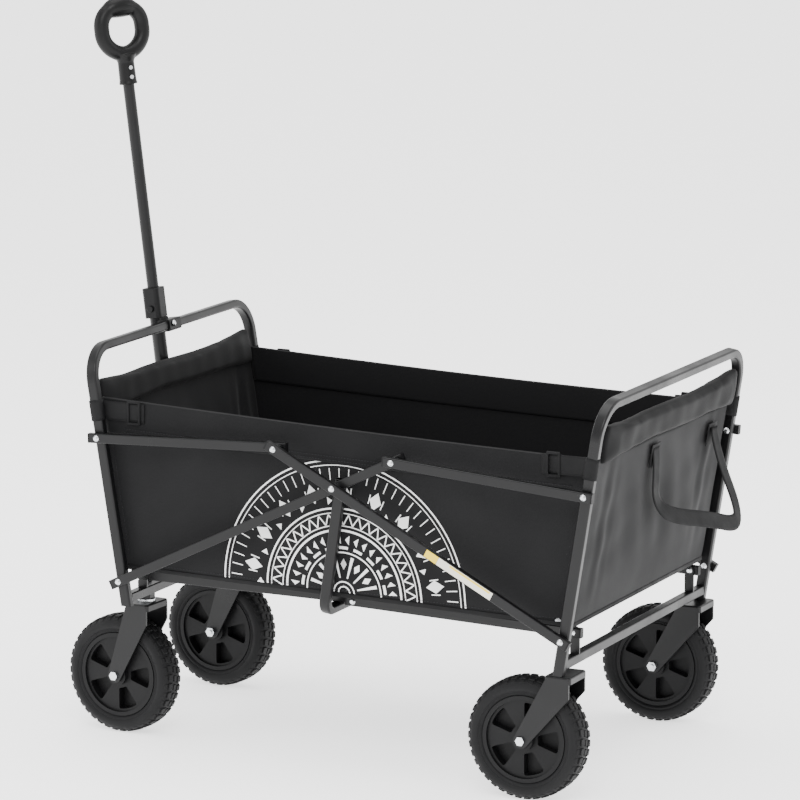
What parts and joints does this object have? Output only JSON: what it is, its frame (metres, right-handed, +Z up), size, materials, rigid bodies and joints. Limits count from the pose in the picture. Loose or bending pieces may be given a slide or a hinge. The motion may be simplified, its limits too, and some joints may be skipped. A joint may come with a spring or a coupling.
{
  "type": "folding camp wagon",
  "caption": "Folding camp wagon: steel scissor frame, open black fabric tub, two fixed rear wheels, two swivelling front wheels and a telescoping pull handle.",
  "frame": {"origin": "centre of the footprint on the ground", "axes": "+X forwards, towards the pull handle; +Y the wagon's left; +Z up"},
  "size_m": [0.9552, 0.5722, 1.0778],
  "materials": {
    "black_steel": "satin black powder coat",
    "zinc": "bright zinc plate",
    "plastic": "moulded black polypropylene",
    "tyre": "matte black moulded tyre",
    "fabric": "coated black polyester weave",
    "board": "fibreboard under fabric"
  },
  "bodies": {
    "rear_frame": {"u_frame_rear": "black_steel", "cross_beam_rear": "black_steel", "pivot_rivets_rear": "zinc", "fork_rear_left": "black_steel", "fork_rear_right": "black_steel", "foot_bolts_rear": "zinc", "axle_bolts_rear": "zinc", "bag": "fabric", "floor_boards": "board", "end_sleeve_rear": "fabric", "corner_straps_rear": "fabric", "pull_loop": "fabric"},
    "front_frame": {"u_frame_front": "black_steel", "cross_beam_front": "black_steel", "pivot_rivets_front": "zinc", "caster_blocks": "black_steel", "king_pins": "zinc", "caster_bearings": "zinc", "handle_bracket": "black_steel", "handle_pivot_pin": "zinc", "handle_clip": "plastic", "end_sleeve_front": "fabric", "corner_straps_front": "fabric"},
    "outer_brace": {"outer_braces": "black_steel", "outer_brace_plugs": "plastic", "outer_brace_rivets": "zinc"},
    "inner_brace": {"inner_braces": "black_steel", "inner_brace_plugs": "plastic", "inner_brace_rivets": "zinc"},
    "front_link": {"front_links": "black_steel", "front_link_plugs": "plastic", "front_link_rivets": "zinc"},
    "rear_link": {"rear_links": "black_steel", "rear_link_plugs": "plastic", "rear_link_rivets": "zinc"},
    "hoop": {"support_hoop": "black_steel"},
    "front_rail": {"front_rails": "black_steel", "front_rail_plugs": "plastic"},
    "rear_rail": {"rear_rails": "black_steel", "rear_rail_plugs": "plastic", "rail_joint_rivets": "zinc"},
    "caster_left": {"caster_fork_left": "black_steel", "caster_axle_left": "zinc"},
    "caster_right": {"caster_fork_right": "black_steel", "caster_axle_right": "zinc"},
    "wheel_front_left": {"tyre_front_left": "tyre", "rim_front_left": "plastic"},
    "wheel_front_right": {"tyre_front_right": "tyre", "rim_front_right": "plastic"},
    "wheel_rear_left": {"tyre_rear_left": "tyre", "rim_rear_left": "plastic"},
    "wheel_rear_right": {"tyre_rear_right": "tyre", "rim_rear_right": "plastic"},
    "handle": {"handle_lower_tube": "black_steel"},
    "collar": {"lock_collar": "plastic"},
    "button": {"lock_button": "plastic"},
    "handle_top": {"handle_upper_tube": "black_steel", "guide_bush": "plastic", "hand_grip": "plastic", "grip_rivets": "zinc"}
  },
  "joints": [
    {"name": "fold", "type": "hinge", "parent": "rear_frame", "child": "outer_brace", "pos_m": [-0.3925, 0, 0.23926], "axis": [0, -1, 0], "range_deg": [0, 52.5], "deforming": ["bag", "floor_boards", "end_sleeve_rear", "corner_straps_rear", "corner_straps_front", "end_sleeve_front", "pull_loop"]},
    {"name": "brace_cross", "type": "hinge", "parent": "outer_brace", "child": "inner_brace", "pos_m": [-0.0381, 0, 0.4265], "axis": [0, -1, 0], "range_deg": [-102.67, 0]},
    {"name": "front_frame_pivot", "type": "hinge", "parent": "inner_brace", "child": "front_frame", "pos_m": [0.3163, 0, 0.25414], "axis": [0, -1, 0], "range_deg": [0, 51.44]},
    {"name": "front_link_pivot", "type": "hinge", "parent": "front_frame", "child": "front_link", "pos_m": [0.3499, 0, 0.46465], "axis": [0, -1, 0], "range_deg": [-67.9, 0]},
    {"name": "rear_link_pivot", "type": "hinge", "parent": "rear_frame", "child": "rear_link", "pos_m": [-0.4261, 0, 0.44835], "axis": [0, -1, 0], "range_deg": [0, 71.26]},
    {"name": "hoop_pivot", "type": "hinge", "parent": "outer_brace", "child": "hoop", "pos_m": [-0.0381, 0, 0.4265], "axis": [0, -1, 0], "range_deg": [-63.5, 0]},
    {"name": "rear_rail_pivot", "type": "hinge", "parent": "rear_frame", "child": "rear_rail", "pos_m": [-0.3871, 0, 0.241], "axis": [0, -1, 0], "range_deg": [0, 84.58]},
    {"name": "front_rail_pivot", "type": "hinge", "parent": "front_frame", "child": "front_rail", "pos_m": [0.3109, 0, 0.2545], "axis": [0, -1, 0], "range_deg": [-70.7, 0]},
    {"name": "caster_swivel_left", "type": "hinge", "parent": "front_frame", "child": "caster_left", "pos_m": [0.3295, 0.1565, 0.202], "axis": [0, 0, 1], "continuous": true},
    {"name": "wheel_spin_front_left", "type": "hinge", "parent": "caster_left", "child": "wheel_front_left", "pos_m": [0.36811, 0.1538, 0.089], "axis": [0.0698, 0.9976, 0], "continuous": true},
    {"name": "wheel_spin_rear_left", "type": "hinge", "parent": "rear_frame", "child": "wheel_rear_left", "pos_m": [-0.3301, 0.245, 0.089], "axis": [0, 1, 0], "continuous": true},
    {"name": "caster_swivel_right", "type": "hinge", "parent": "front_frame", "child": "caster_right", "pos_m": [0.3295, -0.1565, 0.202], "axis": [0, 0, 1], "continuous": true},
    {"name": "wheel_spin_front_right", "type": "hinge", "parent": "caster_right", "child": "wheel_front_right", "pos_m": [0.36811, -0.1592, 0.089], "axis": [0.0698, 0.9976, 0], "continuous": true},
    {"name": "wheel_spin_rear_right", "type": "hinge", "parent": "rear_frame", "child": "wheel_rear_right", "pos_m": [-0.3301, -0.245, 0.089], "axis": [0, 1, 0], "continuous": true},
    {"name": "handle_swing", "type": "hinge", "parent": "front_frame", "child": "handle", "pos_m": [0.3445, 0, 0.222], "axis": [0, 1, 0], "range_deg": [0, 90]},
    {"name": "handle_turn", "type": "hinge", "parent": "handle", "child": "collar", "pos_m": [0.39429, 0, 0.61889], "axis": [0.1245, 0, 0.9922], "range_deg": [-90, 90]},
    {"name": "handle_slide", "type": "slide", "parent": "collar", "child": "handle_top", "axis": [0.1245, 0, 0.9922], "range_m": [-0.29, 0]},
    {"name": "lock_button_press", "type": "slide", "parent": "collar", "child": "button", "axis": [0, -1, 0], "range_m": [0, 0.003], "stiffness_N_per_m": 800, "springref_m": -0.001}
  ],
  "couplings": [
    {"joint": "brace_cross", "follows": "fold", "ratio": -1.9461},
    {"joint": "front_frame_pivot", "follows": "fold", "ratio": 0.97019},
    {"joint": "front_link_pivot", "follows": "fold", "ratio": -1.2838},
    {"joint": "rear_link_pivot", "follows": "fold", "ratio": 1.3479},
    {"joint": "hoop_pivot", "follows": "fold", "ratio": -1.2},
    {"joint": "rear_rail_pivot", "follows": "fold", "ratio": 1.6016},
    {"joint": "front_rail_pivot", "follows": "fold", "ratio": -1.3371}
  ]
}
